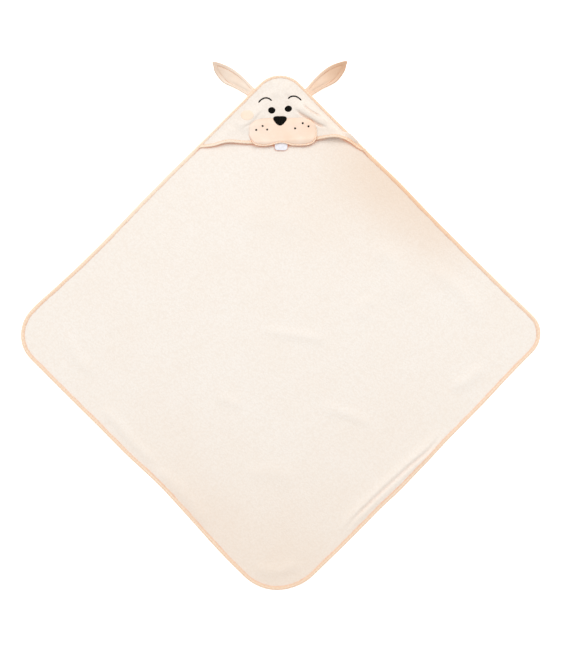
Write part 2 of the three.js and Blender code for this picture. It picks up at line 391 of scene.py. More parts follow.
def linear(code):
    # An sRGB hex code as the linear colour that a shader takes
    parts = [int(code[k:k + 2], 16) / 255 for k in (1, 3, 5)]
    return [c / 12.92 if c <= 0.04045 else ((c + 0.055) / 1.055) ** 2.4 for c in parts] + [1.0]


def addNode(tree, kind, settings=None, **inputs):
    # settings are the node's own properties; inputs are numbers, colours or (node, socket) to link.
    # An input's name has underscores for spaces, or ends in its number.
    node = tree.nodes.new(kind)
    for key, value in (settings or {}).items():
        setattr(node, key, value)
    for key, value in inputs.items():
        socket = node.inputs[int(key[2:])] if key.startswith("in") and key[2:].isdigit() \
            else node.inputs[key.replace("_", " ")]
        if isinstance(value, tuple) and hasattr(value[0], "outputs"):
            tree.links.new(value[0].outputs[value[1]], socket)
        else:
            socket.default_value = value
    return node


def bandScale(pitch):
    # At scale 1 a wave texture's bands lie 2 pi / 20 metres apart
    return 2 * math.pi / 20 / (pitch * mm)


def startMaterial(name):
    material = bpy.data.materials.new(name)
    material.use_nodes = True
    material.node_tree.nodes.clear()
    return material, material.node_tree


def paintShadeAndTone(tree, colour, look):
    # Painted shade and painted light: most of these places blend the cloth's colour toward a darker tone
    # where it lies in shade, or a paler one where it is lit; the rest just draw it darker or paler there.
    # They have x, y, reach, strength and tone.
    for x, y, reach, share, tone in look["shadeAndTonePatches"]:
        at = addNode(tree, "ShaderNodeTexCoord")
        away = addNode(tree, "ShaderNodeVectorMath", {"operation": "DISTANCE"}, in0=(at, "Object"),
                       in1=(x * mm, y * mm, 0))
        amount = addNode(tree, "ShaderNodeMapRange", {"interpolation_type": "SMOOTHSTEP"},
                         Value=(away, "Value"), From_Min=reach * mm, From_Max=0.0, To_Max=share)
        toned = addNode(tree, "ShaderNodeMix", {"data_type": "RGBA"}, Factor=(amount, 0), in6=colour,
                        in7=linear(tone))
        colour = (toned, 2)
    return colour


# How much of a place's surroundings is free of cloth where the painted warm shade starts, and where it is
# strongest
hollows = {"start": 0.85, "full": 0.35, "samples": 6}


def finishCloth(tree, colour, height, look):
    # The shader that every cloth and thread here ends in. Where cloth faces cloth its colour is blended
    # toward a warm painted shade, standing in for the light that bounces between them, and a share of
    # that tone is given off as a painted glow, standing in for light that comes through the cloth.
    # In a look, hollow is how far that is felt, glow how strong the painted shade is,
    # deep its tone, and through the share given off as glow. Bump has its strength
    # and relief its height.
    colour = paintShadeAndTone(tree, colour, look)
    # Painted warm shade: how shut in a place is by cloth, read by ambient occlusion, blends its colour
    # toward a warm tone
    near = addNode(tree, "ShaderNodeAmbientOcclusion", {"samples": hollows["samples"]},
                   Distance=look["hollow"] * mm)
    hollow = addNode(tree, "ShaderNodeMapRange", Value=(near, "AO"), From_Min=hollows["start"],
                     From_Max=hollows["full"], To_Max=look["glow"])
    # Painted glow: part of that warm tone is given off as emission in the same hollows
    through = addNode(tree, "ShaderNodeMath", {"operation": "MULTIPLY"}, in0=(hollow, 0),
                      in1=look["through"])
    toned = addNode(tree, "ShaderNodeMix", {"data_type": "RGBA"}, Factor=(hollow, 0), in6=colour,
                    in7=linear(look["deep"]))
    bump = addNode(tree, "ShaderNodeBump", Strength=look["bump"], Distance=look["relief"] * mm,
                   Height=height)
    cloth = addNode(tree, "ShaderNodeBsdfPrincipled", Base_Color=(toned, 2), Normal=(bump, 0),
                    Roughness=look["roughness"], Sheen_Weight=look["sheen"], Sheen_Roughness=0.5,
                    IOR=look["ior"], Specular_IOR_Level=look["gloss"],
                    Emission_Color=linear(look["deep"]), Emission_Strength=(through, 0))
    addNode(tree, "ShaderNodeOutputMaterial", Surface=(cloth, 0))


# Cotton terry, woven with loops left standing. The eye sees a soft nap with a fine, even grain,
# a little darker between the loops, and no shine.
terryLook = {
    "loopTip": "#fcf6ef", "warm": "#faf0e5", "between": "#f4e7da", "deep": "#ed9259",
    "loop": 4.2,  # real loops are about 1.5 mm: drawn coarser so that the grain shows
    "row": 21.4,  # the rows that the loops stand in, about 2 mm apart: drawn coarser too
    "stir": (9.0, 2.2),  # how far apart the rows waver, and how far
    "nap": 2.6, "brushed": 90.0,  # the size of the tufts, and of the areas brushed one way
    "relief": 0.8, "bump": 0.38, "hollow": 10, "glow": 0.95, "through": 0.1,
    "roughness": 0.95, "sheen": 0.2, "ior": 1.45, "gloss": 0.3,
    # Painted shade: darker along the upper-right edge, toward the foot and toward both lower sides
    "shadeAndTonePatches": [(215, 395, 165, 0.36, "#ebcbad"), (290, 310, 170, 0.36, "#ebcbad"),
              (365, 230, 150, 0.26, "#ebcbad"), (130, 330, 260, 0.16, "#efd3b8"),
              (0, -640, 470, 0.42, "#efd3b8"), (-260, -300, 260, 0.12, "#efd3b8"),
              (-200, -420, 160, 0.14, "#e9c2a0"), (270, -260, 280, 0.08, "#efd3b8")],
}
shadedHoodTerryLook = dict(  # the same cloth with painted shade: its colours drawn a little darker and greyer
    terryLook, loopTip="#f9f2ea", warm="#f6ebe0", between="#efe2d5",
    hollow=12, deep="#d8a182", glow=0.7, through=0.05,
    # Painted shade: darker toward its right side, and greyer on the roll that laps over the tape
    shadeAndTonePatches=[(210, 360, 300, 0.4, "#efd3b8"), (168, 436, 34, 0.5, "#d8bfaa")])


def makeTerry(name, look):
    material, tree = startMaterial(name)
    at = addNode(tree, "ShaderNodeTexCoord")
    place = addNode(tree, "ShaderNodeMapping", Vector=(at, "Object"), Rotation=(0, 0, math.pi / 4))
    apart, sideways = look["stir"]
    stir = addNode(tree, "ShaderNodeTexNoise", Vector=(place, 0), Scale=1 / (apart * mm), Detail=2.0)
    moved = addNode(tree, "ShaderNodeVectorMath", {"operation": "MULTIPLY_ADD"},
                    in0=(stir, "Color"), in1=(sideways * mm,) * 3, in2=(place, 0))
    loops = addNode(tree, "ShaderNodeTexVoronoi", Vector=(moved, 0), Scale=1 / (look["loop"] * mm))
    rows = addNode(tree, "ShaderNodeTexWave", {"bands_direction": "X"}, Vector=(moved, 0),
                   Scale=bandScale(look["row"]), Distortion=2.0)
    nap, brushed = [
        addNode(tree, "ShaderNodeTexNoise", Vector=(place, 0), Scale=1 / (look[key] * mm), Detail=3.0)
        for key in ("nap", "brushed")]
    base = addNode(tree, "ShaderNodeMix", {"data_type": "RGBA"}, Factor=(brushed, "Fac"),
                   in6=linear(look["loopTip"]), in7=linear(look["warm"]))
    gap = addNode(tree, "ShaderNodeMapRange", Value=(loops, "Distance"), From_Min=0.25,
                  From_Max=0.75, To_Max=0.45)
    shade = addNode(tree, "ShaderNodeMix", {"data_type": "RGBA"}, Factor=(gap, 0), in6=(base, 2),
                    in7=linear(look["between"]))
    tuft = addNode(tree, "ShaderNodeMath", {"operation": "SUBTRACT"}, in0=1.0, in1=(loops, "Distance"))
    ribbed = addNode(tree, "ShaderNodeMath", {"operation": "MULTIPLY_ADD"}, in0=(rows, "Fac"), in1=0.22,
                     in2=(tuft, 0))
    height = addNode(tree, "ShaderNodeMath", {"operation": "MULTIPLY_ADD"}, in0=(nap, "Fac"), in1=0.5,
                     in2=(ribbed, 0))
    finishCloth(tree, (shade, 2), (height, 0), look)
    return material


# Plain-woven cotton: crossed threads, with the odd thick one, and a flat, slightly dry surface
tapeLook = {
    "thread": "#fee8d2", "slub": "#fce0c6", "between": "#f6d0ae", "deep": "#e89a64",
    "pitch": 6.91,  # real threads are about 0.35 mm apart: drawn coarser so that the weave shows
    "turn": 45,  # cut on the bias, so the threads cross the tape's edge at 45 degrees
    "relief": 0.25, "bump": 0.35, "hollow": 5, "glow": 0.75, "through": 0.08,
    "roughness": 0.8, "sheen": 0.1, "ior": 1.47, "gloss": 0.35,
    # Painted shade darker toward the upper right and the foot, painted light paler toward the upper left;
    # paler on the hem tape either side of the muzzle
    "shadeAndTonePatches": [(250, 300, 330, 0.5, "#f3bf90"), (-260, 330, 340, 0.6, "#fff2de"),
              (0, -640, 420, 0.12, "#f3bf90"), (-118, 430, 70, 0.4, "#fff4e6"),
              (112, 442, 46, 0.6, "#fff1e0")],
}
toothLook = {  # bleached cotton twill: a fine slanted rib, cool and clean
    "thread": "#fcfbff", "slub": "#f6f5fc", "between": "#eaeaf2", "deep": "#f3e9e6",
    "pitch": 8.17, "turn": 63,  # the rib is drawn coarser than the real 1 mm
    "relief": 0.2, "bump": 0.3, "hollow": 5, "glow": 0.35, "through": 0.25,
    "roughness": 0.75, "sheen": 0.1, "ior": 1.47, "gloss": 0.4,
    "shadeAndTonePatches": [],
}


def makeWoven(name, look):
    material, tree = startMaterial(name)
    at = addNode(tree, "ShaderNodeTexCoord")
    turn = (0, 0, math.radians(look["turn"]))
    place = addNode(tree, "ShaderNodeMapping", Vector=(at, "Object"), Rotation=turn)
    warp, weft = [
        addNode(tree, "ShaderNodeTexWave", {"bands_direction": way}, Vector=(place, 0),
                Scale=bandScale(look["pitch"]), Distortion=1.2, Detail=1.0)
        for way in ("X", "Y")]
    crossed = addNode(tree, "ShaderNodeMath", {"operation": "MULTIPLY"}, in0=(warp, "Fac"),
                      in1=(weft, "Fac"))
    slubLength = 14 * mm
    slub = addNode(tree, "ShaderNodeTexNoise", Vector=(place, 0), Scale=1 / slubLength, Detail=4.0)
    base = addNode(tree, "ShaderNodeMix", {"data_type": "RGBA"}, Factor=(slub, "Fac"),
                   in6=linear(look["thread"]), in7=linear(look["slub"]))
    dark = addNode(tree, "ShaderNodeMapRange", Value=(crossed, 0), From_Min=0.45, From_Max=0.0, To_Max=0.5)
    colour = addNode(tree, "ShaderNodeMix", {"data_type": "RGBA"}, Factor=(dark, 0), in6=(base, 2),
                     in7=linear(look["between"]))
    height = addNode(tree, "ShaderNodeMath", {"operation": "MULTIPLY_ADD"}, in0=(slub, "Fac"), in1=0.6,
                     in2=(crossed, 0))
    finishCloth(tree, (colour, 2), (height, 0), look)
    return material


# Sheared velour and brushed jersey: a fine nap, lighter where it was stroked one way. The tufts and
# the knit's wales are under 1 mm in the real cloth: both are drawn coarser so that they show.
velourLook = {
    "light": "#fee9d8", "dark": "#fcdfc8", "deep": "#dca07c",
    "nap": 1.8, "stroke": 26, "wale": 12.6, "knit": 0.1,
    "relief": 0.45, "bump": 0.35, "hollow": 7, "glow": 0.5, "through": 0.1,
    "roughness": 0.92, "sheen": 0.3, "ior": 1.45, "gloss": 0.3,
    "shadeAndTonePatches": [(80, 450, 60, 0.25, "#f8d0b0"), (-78, 458, 56, 0.8, "#fcefe2")],
}
jerseyLook = {
    "light": "#f9eadb", "dark": "#f5dfcb", "deep": "#e3a06c",
    "nap": 1.6, "stroke": 34, "wale": 10.7, "knit": 0.5,
    "relief": 0.4, "bump": 0.35, "hollow": 8, "glow": 0.6, "through": 0.2,
    "roughness": 0.9, "sheen": 0.2, "ior": 1.45, "gloss": 0.3,
    # Painted shade: darker toward both ear tips, and over most of the right ear
    "shadeAndTonePatches": [(-152, 604, 70, 0.26, "#cc8a4a"), (100, 565, 150, 0.42, "#f3c095"),
              (156, 604, 88, 0.64, "#cc8a4a")],
}
cheekLook = {
    "light": "#fbe8d5", "dark": "#f9e1ca", "deep": "#f0b48c",
    "nap": 1.6, "stroke": 12, "wale": 10.7, "knit": 0.3,
    "relief": 0.3, "bump": 0.3, "hollow": 7, "glow": 0.2, "through": 0.1,
    "roughness": 0.92, "sheen": 0.25, "ior": 1.45, "gloss": 0.3,
    "shadeAndTonePatches": [(76, 488, 44, 1.0, "#f0e2d6")],
}


def makeNapped(name, look):
    material, tree = startMaterial(name)
    at = addNode(tree, "ShaderNodeTexCoord")
    nap, stroke = [
        addNode(tree, "ShaderNodeTexNoise", Vector=(at, "Object"), Scale=1 / (look[key] * mm), Detail=detail)
        for key, detail in (("nap", 4.0), ("stroke", 2.0))]
    knit = addNode(tree, "ShaderNodeTexWave", {"bands_direction": "X"}, Vector=(at, "Object"),
                   Scale=bandScale(look["wale"]), Distortion=1.5)
    soft = addNode(tree, "ShaderNodeMapRange", Value=(stroke, "Fac"), From_Min=0.3, From_Max=0.7)
    base = addNode(tree, "ShaderNodeMix", {"data_type": "RGBA"}, Factor=(soft, 0),
                   in6=linear(look["light"]), in7=linear(look["dark"]))
    grain = addNode(tree, "ShaderNodeMapRange", Value=(nap, "Fac"), From_Min=0.62, From_Max=0.35,
                    To_Max=0.45)
    colour = addNode(tree, "ShaderNodeMix", {"data_type": "RGBA"}, Factor=(grain, 0), in6=(base, 2),
                     in7=linear(look["dark"]))
    height = addNode(tree, "ShaderNodeMath", {"operation": "MULTIPLY_ADD"}, in0=(knit, "Fac"),
                     in1=look["knit"], in2=(nap, "Fac"))
    finishCloth(tree, (colour, 2), (height, 0), look)
    return material


# Machine embroidery in rayon: long threads laid side by side, with the soft sheen of silk
blackLook = {
    "light": "#191815", "thread": "#100f0d", "between": "#070706", "deep": "#070706",
    "pitch": 5.65,  # real threads are 0.4 mm: drawn coarser
    "turn": 12, "relief": 0.3, "bump": 0.5, "hollow": 3, "glow": 0.3, "through": 0.0,
    "roughness": 0.7, "sheen": 0.0, "ior": 1.5, "gloss": 0.04,
    "shadeAndTonePatches": [],
}
satinLook = {
    "light": "#fee8d3", "thread": "#fce0c7", "between": "#f8d3b4", "deep": "#e39c70",
    "pitch": 6.28, "turn": 40, "relief": 0.25, "bump": 0.4, "hollow": 5, "glow": 0.45, "through": 0.1,
    "roughness": 0.5, "sheen": 0.1, "ior": 1.5, "gloss": 0.4,
    # Paler along the muzzle's left side; painted shade in orange at its lower-left corner
    "shadeAndTonePatches": [(-78, 458, 46, 0.95, "#fbeddf"), (-64, 429, 17, 0.9, "#e8834a")],
}
# Spun polyester sewing thread: a tight twist, faintly glossy, drawn coarser than its real 0.3 mm
sewingLook = {
    "light": "#fbdcbe", "thread": "#f6cda8", "between": "#e7b58a", "deep": "#d98a55",
    "pitch": 4.4, "turn": 25, "relief": 0.25, "bump": 0.4, "hollow": 4, "glow": 0.7, "through": 0.15,
    "roughness": 0.55, "sheen": 0.05, "ior": 1.5, "gloss": 0.4,
    # Painted shade: darker toward the upper right and on the ear stitches, most on the right ear
    "shadeAndTonePatches": [(250, 300, 330, 0.4, "#eeb98c"), (-100, 572, 80, 0.95, "#d99a66"),
              (100, 572, 80, 0.95, "#c98350")],
}


def makeEmbroidery(name, look):
    material, tree = startMaterial(name)
    at = addNode(tree, "ShaderNodeTexCoord")
    turn = (0, 0, math.radians(look["turn"]))
    place = addNode(tree, "ShaderNodeMapping", Vector=(at, "Object"), Rotation=turn)
    threads = addNode(tree, "ShaderNodeTexWave", {"bands_direction": "X"}, Vector=(place, 0),
                      Scale=bandScale(look["pitch"]), Distortion=0.8, Detail=1.0)
    longWays = (2 * math.pi / look["pitch"], 0.12, 1)  # one tone runs far along a thread
    lengths = addNode(tree, "ShaderNodeMapping", Vector=(place, 0), Scale=longWays)
    ends = addNode(tree, "ShaderNodeTexNoise", Vector=(lengths, 0), Scale=1 / mm, Detail=1.0)
    groove = addNode(tree, "ShaderNodeMapRange", Value=(threads, "Fac"), From_Min=0.6, From_Max=0.0,
                     To_Max=0.8)
    base = addNode(tree, "ShaderNodeMix", {"data_type": "RGBA"}, Factor=(ends, "Fac"),
                   in6=linear(look["light"]), in7=linear(look["thread"]))
    colour = addNode(tree, "ShaderNodeMix", {"data_type": "RGBA"}, Factor=(groove, 0), in6=(base, 2),
                     in7=linear(look["between"]))
    height = addNode(tree, "ShaderNodeMath", {"operation": "MULTIPLY_ADD"}, in0=(ends, "Fac"), in1=0.5,
                     in2=(threads, "Fac"))
    finishCloth(tree, (colour, 2), (height, 0), look)
    return material


terry = makeTerry("CottonTerryLooped", terryLook)
shadedHoodTerry = makeTerry("CottonTerryLoopedHoodShaded", shadedHoodTerryLook)
biasTape = makeWoven("CottonBiasTapeWoven", tapeLook)
toothTwill = makeWoven("CottonTwillBleached", toothLook)
velour = makeNapped("CottonVelourSheared", velourLook)
jersey = makeNapped("CottonJerseyBrushed", jerseyLook)
cheekCloth = makeNapped("CottonFlannelBrushed", cheekLook)
blackThread = makeEmbroidery("RayonEmbroideryBlack", blackLook)
satinThread = makeEmbroidery("RayonSatinStitchPeach", satinLook)
sewingThread = makeEmbroidery("PolyesterThreadPeach", sewingLook)
print("materials made")


hood = {
    "cloth": 2.6,
    "seamUnder": 3.75,  # its underside where it is sewn, on top of the square
    "slack": 2.6,  # how far the cloth stands off the square
    "slackFrom": (9.0, 30.0), "liftFrom": (5.5, 13.0),  # inside the edge: where each starts, over what
    "unevenness": [(0.3, 16, 21), (0.4, 45, 22)],  # height, size across and seed
    "hemEnds": (187.0, 197.0),  # left and right, down from the square's corner point
    # The hem between its ends: share of that side, rise above the straight line
    "hem": [(-0.8, 5), (-0.61, 15), (-0.35, 13), (0, 17), (0.38, 25), (0.61, 31), (0.76, 24), (0.89, 7)],
    # Where the hem stands open: x, half-width, how far up it fades, height
    "lifts": [(126.0, 34.0, 34.0, 8.8), (-112.0, 42.0, 16.0, 2.3)],
    # Rolls and folds: path, half-width, height
    "folds": [
        ([(26, 516), (46, 503), (66, 491), (84, 481), (104, 472), (122, 466)], 15.0, 6.6),
        ([(30, 501), (48, 489), (56, 484), (64, 479.5), (73, 474), (81, 469), (92, 463), (108, 458)],
         2.9, -4.9),
        ([(46, 514), (54, 507), (64, 499), (74, 492.5), (84, 487.5), (96, 481)], 2.3, -3.2),
        ([(-28, 502), (-42, 498), (-60, 480), (-74, 466), (-94, 456)], 12.0, 3.2),
        ([(-34, 499), (-42, 492), (-50, 482), (-56, 474), (-66, 466), (-85, 456)], 3.2, -2.0),
        ([(-100, 462), (-116, 448), (-134, 436)], 9.0, 1.4),
        ([(104, 452), (122, 457), (140, 452)], 7.0, 1.4),
        ([(-16, 568), (-10, 546), (-13, 522)], 7.0, 2.0),
        ([(20, 568), (13, 546), (19, 528)], 6.0, 1.8),
    ],
    "columns": 250,
    "rows": 104,
    # Beside the right end of the hem the hood rolls out over the tape
    "lap": {"low": 421.0, "high": 454.0, "past": 0.8, "foot": 2.6, "roll": 3.0, "inside": 24.0},
}


def hemPoint(share, rise):
    left, right = hood["hemEnds"]
    x = share * (left if share < 0 else right)
    across = (x + left) / (left + right)
    return x, halfDiagonal - (left + (right - left) * across) + rise


# The line runs on a little past both ends, so that it is smooth where the tape covers it
pastLeft, pastRight = [(-1.1, 0), (-1, 0)], [(1, 0), (1.1, 0)]
hemPath = curveThrough([hemPoint(*p) for p in pastLeft + hood["hem"] + pastRight], 1.5)


def hemAt(x):
    return np.interp(x, hemPath[:, 0], hemPath[:, 1])


def lapOver(x, y):
    lap = hood["lap"]
    return smooth((y - lap["low"]) / 10) * smooth((lap["high"] - y) / 10) * (x > 0)


def hoodUnder(x, y):
    inside = insetOf(x, y)
    up = np.maximum(y - hemAt(x), 0)
    (slackFrom, slackOver), (liftFrom, liftOver) = hood["slackFrom"], hood["liftFrom"]
    lift = hood["slack"] * smooth((inside - slackFrom) / slackOver)
    for centre, width, fade, height in hood["lifts"]:
        lift += height * np.exp(-((x - centre) / width) ** 2 - (up / fade) ** 2)
    for path, width, height in hood["folds"]:
        lift += crease(x, y, curveThrough(path, 6), width, height)
    for height, size, seed in hood["unevenness"]:
        lift += height * wander(x, y, size, seed)
    z = hood["seamUnder"] + np.maximum(lift, 0.0) * smooth((inside - liftFrom) / liftOver)
    lap = hood["lap"]
    past = lap["past"]
    rolled = lap["foot"] + lap["roll"] * np.sqrt(np.clip((inside + past) / hood["cloth"], 0, 1))
    share = lapOver(x, y) * smooth((lap["inside"] - inside) / 14)
    return z + (np.maximum(rolled, z) - z) * share - (1 - np.clip((inside + past) / 1.2, 0, 1)) * share


def hoodThick(x, y):
    pressed = (1 - smooth((insetOf(x, y) - 4.8) / 4)) * (1 - lapOver(x, y))
    return hood["cloth"] - 0.9 * pressed


def hoodOver(x, y):
    return hoodUnder(x, y) + hoodThick(x, y)


# How far in from the sewn edge a place would start to follow the hood when it opens, and how much
# further in it would fully do so. A share is worked out from these, but no piece is moved by it.
hoodSewn = {"inset": 9.0, "full": 112.0}


def bendWithHood(piece):
    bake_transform(piece)
    co = np.array([v.co for v in piece.data.vertices]) / mm
    share = smooth((insetOf(co[:, 0], co[:, 1]) - hoodSewn["inset"]) / hoodSewn["full"])
    return piece


def makeSquare():
    inset = square["cutInset"]
    half = halfSide - inset
    inner = half - square["edgeBand"]
    rim = np.linspace(inner, half, int(square["edgeBand"] / square["edgeStep"]) + 1)
    middle = np.linspace(-inner, inner, int(2 * inner / square["middleStep"]) + 1)
    places = np.r_[-rim[::-1], middle[1:-1], rim]
    s, t = np.meshgrid(places, places, indexing="ij")
    inside = half - np.maximum(np.abs(s), np.abs(t)) + inset
    signs = [(1, -1), (1, 1), (-1, 1), (-1, -1)]  # the same order as the corner radii
    for (a, b), radius in zip(signs, cornerRadii):
        radius -= inset
        u, v = s * a - half + radius, t * b - half + radius
        corner = (u > 0) & (v > 0)
        reach, angle = np.maximum(u, v), np.arctan2(v, u)
        s = np.where(corner, (half - radius + reach * np.cos(angle)) * a, s)
        t = np.where(corner, (half - radius + reach * np.sin(angle)) * b, t)
    x, y = (s - t) / math.sqrt(2), (s + t) / math.sqrt(2)
    (topFrom, topOver), (underFrom, underOver) = square["topLeaves"], square["underLeaves"]
    full = smooth((inside - topFrom) / topOver)
    pressedLow = (square["terry"] - square["pressed"]) / 2 + square["offBed"]
    low = pressedLow * (1 - smooth((inside - underFrom) / underOver))
    high = pressedLow + square["pressed"] + (square["terry"] - pressedLow - square["pressed"]) * full
    close, wide = square["nap"]
    nap = full * (close * wander(x, y, 9, 31) + wide * wander(x, y, 26, 32))
    top = np.stack([x, y, high + nap - 0.15 * full], 2)
    bottom = np.stack([x, y, low], 2)
    points, faces = doubleSheet(top, bottom)
    return makePiece("terry_square", points, faces, terry, "towel")


tape = {
    "width": 8.5,
    "hoodWidth": 6.3,  # less of it shows where it is folded round the hood as well
    "height": 4.4,
    "hoodExtra": 2.2,
    "pucker": 0.3,
    "step": 3.0,
    "stitch": {"setback": 1.9, "pitch": 3.9, "length": 3.0, "thickness": 0.7, "sunk": 0.42},
    # Round the folded tape: share of its width, height, share of the pucker
    "profile": [
        (1.0, 0.0, 0), (0.6, 0.0, 0), (0.24, 0.0, 0), (0.065, 0.5, 0), (0.0, 1.9, 0.2), (0.04, 3.2, 0.4),
        (0.19, 4.25, 0.7), (0.42, 4.52, 1.0), (0.64, 4.4, 0.8), (0.77, 3.95, 0.1), (0.89, 4.2, 0.8),
        (1.0, 4.1, 0.9), (0.99, 3.65, 0.5), (0.6, 3.62, 0.1), (0.22, 3.55, 0.1), (0.1, 2.2, 0.0),
        (0.2, 0.72, 0), (0.6, 0.62, 0), (0.99, 0.5, 0),
    ],
}


def holdsHood(x, y):
    # 1 where the tape is folded round the hood too
    return smooth((y - hemAt(x) + 10) / 18)


def makeEdgeTape():
    line, outward = edgeLine(0.0, tape["step"])
    x, y = line[:, 0], line[:, 1]
    onHood = holdsHood(x, y)
    extra = tape["hoodExtra"] * onHood * (1 - 0.8 * lapOver(x, y))
    width = tape["width"] + (tape["hoodWidth"] - tape["width"]) * onHood
    along = np.arange(len(line)) * tape["step"]
    width = width + 0.3 * wander(along, 0 * along, 24, 43)
    pucker = wander(along, 0 * along, 9, 41) + 0.6 * wander(along, 0 * along, 4.5, 42)
    pucker = tape["pucker"] * pucker
    sections = []
    for share, z, loose in tape["profile"]:
        xy = line - outward * (share * width)[:, None]
        lift = extra * smooth((z - 1.0) / 2.2) + pucker * loose
        sections.append(np.column_stack([xy, z + lift]))
    points, faces = sweep(np.stack(sections, 1), True)
    piece = makePiece("edge_tape", points, faces, biasTape, "towel")

    stitch = tape["stitch"]
    row = line - outward * (width - stitch["setback"])[:, None]
    angle = np.arctan2(row[:, 1], row[:, 0])
    order = np.argsort(angle)
    heights = (tape["height"] - stitch["sunk"] + extra + 0.1 * pucker)[order]

    def onTape(px, py):
        return np.interp(np.arctan2(py, px), angle[order], heights)

    points, faces = stitchRow(row, onTape, stitch["pitch"], stitch["length"], stitch["thickness"],
                              closed=True)
    stitches = makePiece("edge_stitches", points, faces, sewingThread, "towel")
    return piece, stitches


terrySquare = makeSquare()
edgeTape, edgeStitches = makeEdgeTape()
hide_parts("towel_panel")
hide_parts("edge_binding")
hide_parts("edge_topstitch")
print("square, tape and stitches made")


def hoodTopEdge(x):
    # The y at which the hood's own edge lies, for each x: under the tape, or past it at the lap
    y = np.full(np.shape(x), halfDiagonal)
    for _ in range(80):
        tucked = 3.0 - (3.0 + hood["lap"]["past"]) * lapOver(x, y)
        y = y - (tucked - insetOf(x, y)) * 0.7
    return y


def makeHood():
    left, right = hood["hemEnds"]
    x = np.linspace(-left + 5.5, right - 5.5, hood["columns"])
    low = hemAt(x) + 0.9
    high = np.maximum(hoodTopEdge(x), low + 0.4)
    y = low + (high - low) * np.linspace(0, 1, hood["rows"])[:, None]
    x = np.broadcast_to(x, y.shape)
    under = hoodUnder(x, y)
    over = under + hoodThick(x, y) + 0.12 * wander(x, y, 8, 51)
    top = np.stack([x, y, over], 2)[:, ::-1]
    bottom = np.stack([x, y, under], 2)[:, ::-1]
    points, faces = doubleSheet(top, bottom)
    return makePiece("hood_terry", points, faces, shadedHoodTerry)


hemTape = {
    "step": 1.5,
    "ends": 4.2,  # how far inside the square's edge it stops
    "lowest": 3.72,  # just over the square's top face
    "pucker": 0.2,
    "stitch": {"setback": 5.0, "pitch": 3.9, "length": 3.0, "thickness": 0.65, "above": 0.6, "spare": 6},
    # Round the folded tape: depth inside the hem, the face it lies on, height off it, share of the
    # pucker
    "profile": [
        (6.6, 1, 0.2, 0.5), (5.9, 1, 0.75, 0.8), (5.0, 1, 0.45, 0.1), (4.0, 1, 0.85, 0.8),
        (2.1, 1, 1.0, 1.0), (0.6, 1, 0.55, 0.5), (-0.25, 0.5, 0.0, 0.2), (0.5, 0, -0.5, 0.1),
        (2.3, 0, -0.9, 0), (4.8, 0, -0.85, 0), (6.6, 0, -0.8, 0), (6.5, 0, -0.2, 0),
        (3.8, 0, -0.2, 0), (1.4, 0, -0.15, 0), (0.7, 0.5, 0.0, 0), (1.4, 1, 0.15, 0),
        (3.8, 1, 0.2, 0), (6.2, 1, 0.15, 0),
    ],
}


def makeHemTape():
    line = hemPath[insetOf(hemPath[:, 0], hemPath[:, 1]) > hemTape["ends"]]
    inward = leftNormals(line)
    # Pressed thinner toward its ends, where the edge tape holds it down
    thinned = 0.3 + 0.7 * smooth((insetOf(line[:, 0], line[:, 1]) - 3) / 8)
    along = np.arange(len(line)) * hemTape["step"]
    pucker = wander(along, 0 * along, 8, 61) + 0.5 * wander(along, 0 * along, 4, 62)
    pucker = hemTape["pucker"] * pucker
    sections = []
    for depth, face, off, loose in hemTape["profile"]:
        xy = line + inward * depth
        under, over = hoodUnder(xy[:, 0], xy[:, 1]), hoodOver(xy[:, 0], xy[:, 1])
        z = under + (over - under) * face + (off + pucker * loose) * thinned
        sections.append(np.column_stack([xy, np.maximum(z, hemTape["lowest"])]))
    points, faces = sweep(np.stack(sections, 1), False, flip=True)
    piece = makePiece("hem_tape", points, faces, biasTape)
    stitch = hemTape["stitch"]
    row = (line + inward * stitch["setback"])[stitch["spare"]:-stitch["spare"]]
    points, faces = stitchRow(row, lambda px, py: hoodOver(px, py) + stitch["above"], stitch["pitch"],
                              stitch["length"], stitch["thickness"], seed=6)
    return piece, makePiece("hem_stitches", points, faces, sewingThread)


hoodTerry = makeHood()
hemBinding, hemStitches = makeHemTape()
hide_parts("hood_panel")
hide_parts("hood_hem_binding")
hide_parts("hood_hem_topstitch")
print("hood made")


muzzle = {
    # Its outline, as shares of half its width and half its height from the middle
    "outline": [(-0.968, -0.065), (-0.958, 0.286), (-0.871, 0.571), (-0.716, 0.765), (-0.484, 0.857),
                (0.048, 0.857), (0.575, 0.877), (0.776, 0.796), (0.901, 0.581), (0.948, 0.245),
                (0.948, -0.149), (0.929, -0.465), (0.843, -0.707), (0.671, -0.828), (0.46, -0.846),
                (0.268, -0.837), (0.125, -0.744), (-0.048, -0.688), (-0.223, -0.763), (-0.397, -0.865),
                (-0.581, -0.902), (-0.755, -0.846), (-0.871, -0.651), (-0.949, -0.372)],
    "sewnEdge": 0.2, "freeEdge": 1.0,  # its edge's thickness along the top and along the bottom
    "puff": 2.0,
    "rim": 13.0,
    "freeBelow": (452.0, 22.0),  # where its edge stops being sewn flat, and over what length
    # Soft dents: path, half-width, height
    "dents": [([(30, 462), (40, 448), (52, 436)], 6.0, -0.7),
              ([(-40, 440), (-30, 432), (-16, 428)], 6.0, -0.5)],
    "unevenness": 0.3,
    "offHood": 0.05,
    "overTape": 0.9,  # how far the hem tape under it lifts it
    "droop": (3.6, 18.0),  # how far its lower edge falls past the hem, and over what length
    "step": 2.0,
    "rings": 22,
    # Round its satin border: depth inside the edge, share from under to over, height, share of ripple
    "border": [
        (3.4, 1, -0.1, 0), (2.5, 1, 0.16, 1), (1.2, 1, 0.22, 1), (0.2, 1, 0.12, 0.6), (-0.2, 0.5, 0.0, 0),
        (0.1, 0, -0.2, 0), (1.2, 0, -0.3, 0), (2.6, 0, -0.1, 0), (1.4, 0.3, 0.0, 0), (0.6, 0.5, 0.0, 0),
        (1.6, 0.8, 0.0, 0),
    ],
}


